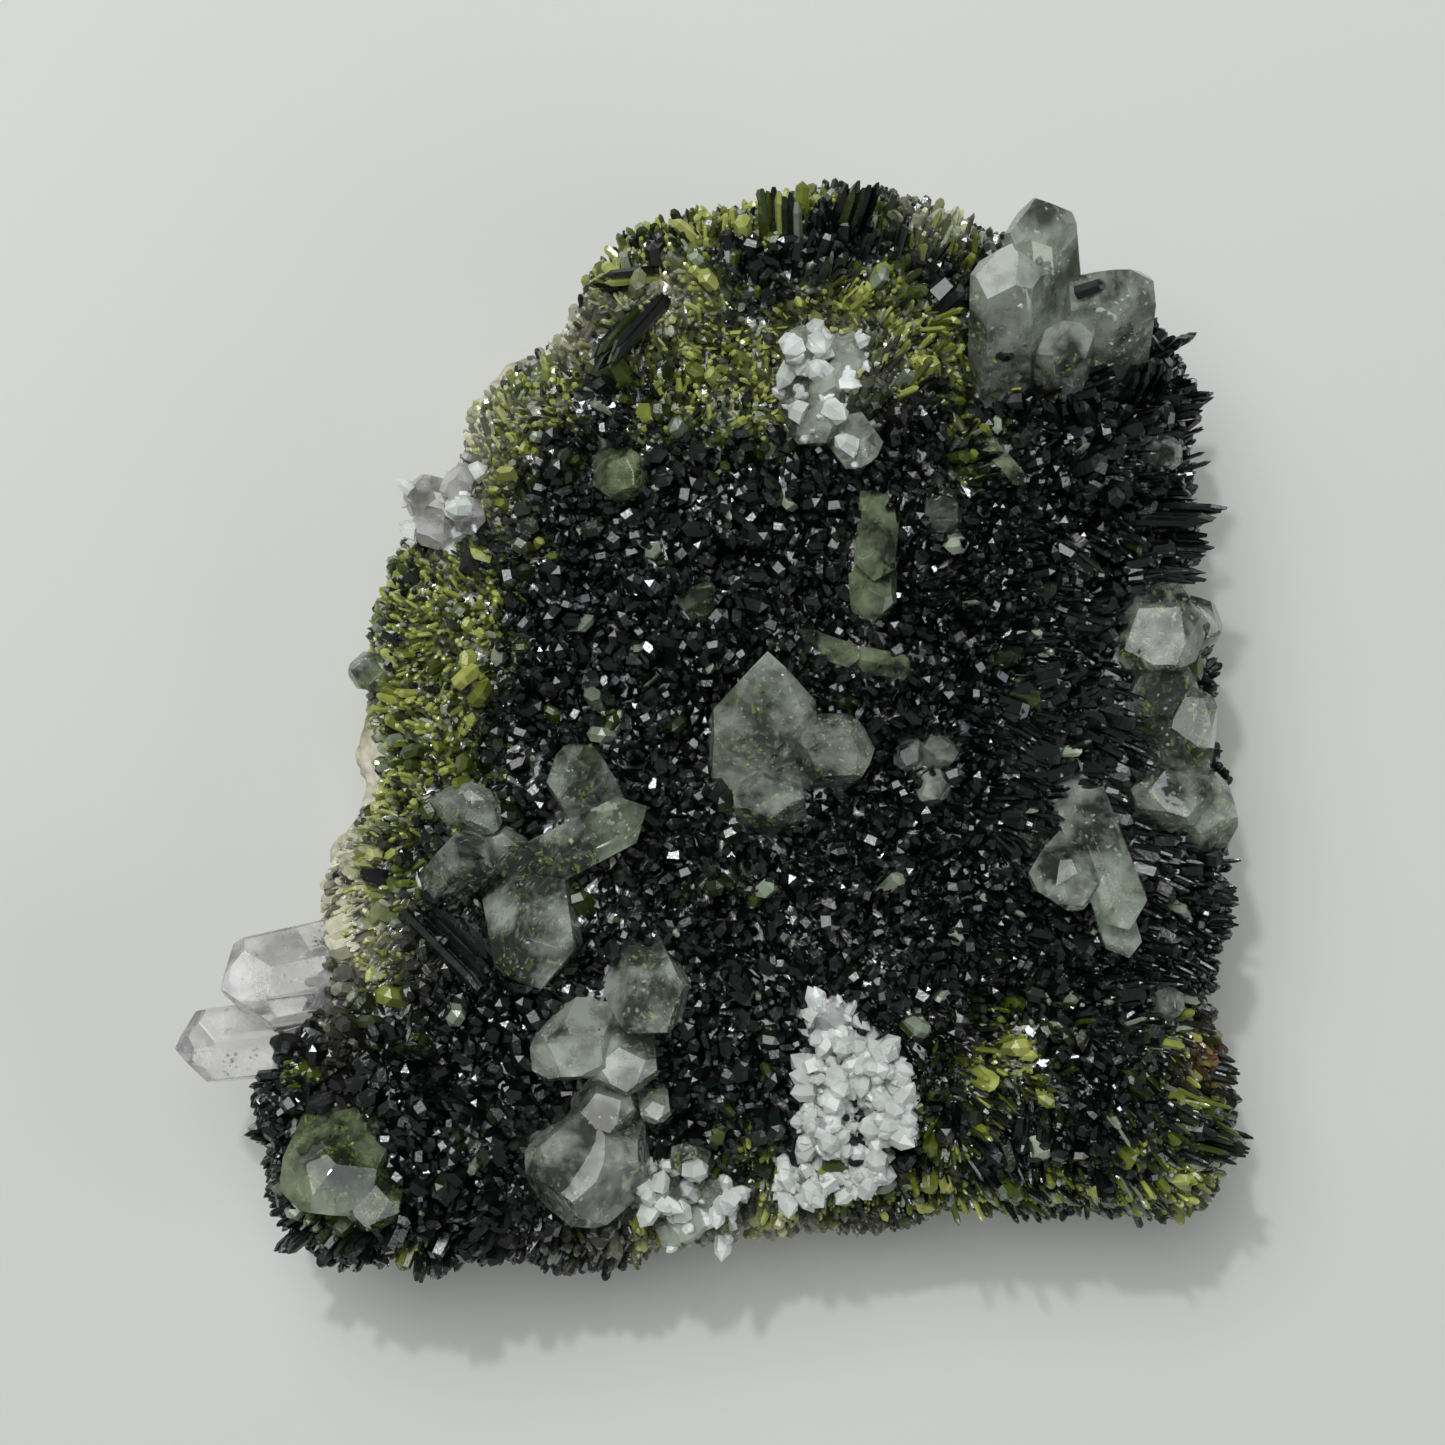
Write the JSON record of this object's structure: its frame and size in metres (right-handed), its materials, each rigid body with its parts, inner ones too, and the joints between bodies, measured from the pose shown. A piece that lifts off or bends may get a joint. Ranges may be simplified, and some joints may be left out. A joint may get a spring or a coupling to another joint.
{
  "type": "epidote crystal cluster",
  "caption": "Natural mineral specimen: a plate of pale matrix rock covered with a crust of dark green epidote crystals, with clear quartz crystals standing in it.",
  "frame": {"origin": "a point on the flat back, under the middle of the specimen", "axes": "+Z from the flat back up through the crystal-covered face, +Y towards the end with the tallest crystals, +X to the right when the face is looked at"},
  "size_m": [0.0904, 0.0921, 0.031],
  "materials": {
    "matrix": "rough broken rock, cream to grey-green",
    "epidote": "glassy crystal faces, black-green to olive",
    "quartz": "clear to frosted crystal with grey-green veils"
  },
  "bodies": {
    "root": {"matrix_rock": "matrix", "epidote_crust": "epidote", "quartz_crown": "quartz", "quartz_centre_pair": "quartz", "quartz_left_group": "quartz", "quartz_lower_group": "quartz", "quartz_white_vein": "quartz", "quartz_edge_pair": "quartz", "quartz_left_druse": "quartz", "quartz_left_knob": "quartz", "quartz_right_long": "quartz", "quartz_right_edge": "quartz", "quartz_top_lumps": "quartz", "quartz_upright_strip": "quartz", "quartz_dim_point": "quartz", "quartz_small_hexagon": "quartz", "quartz_star": "quartz", "quartz_fin": "quartz", "quartz_right_bead": "quartz", "quartz_pale_blade": "quartz", "quartz_lower_bead": "quartz", "quartz_corner_green": "quartz", "quartz_ribbon": "quartz"}
  },
  "joints": []
}
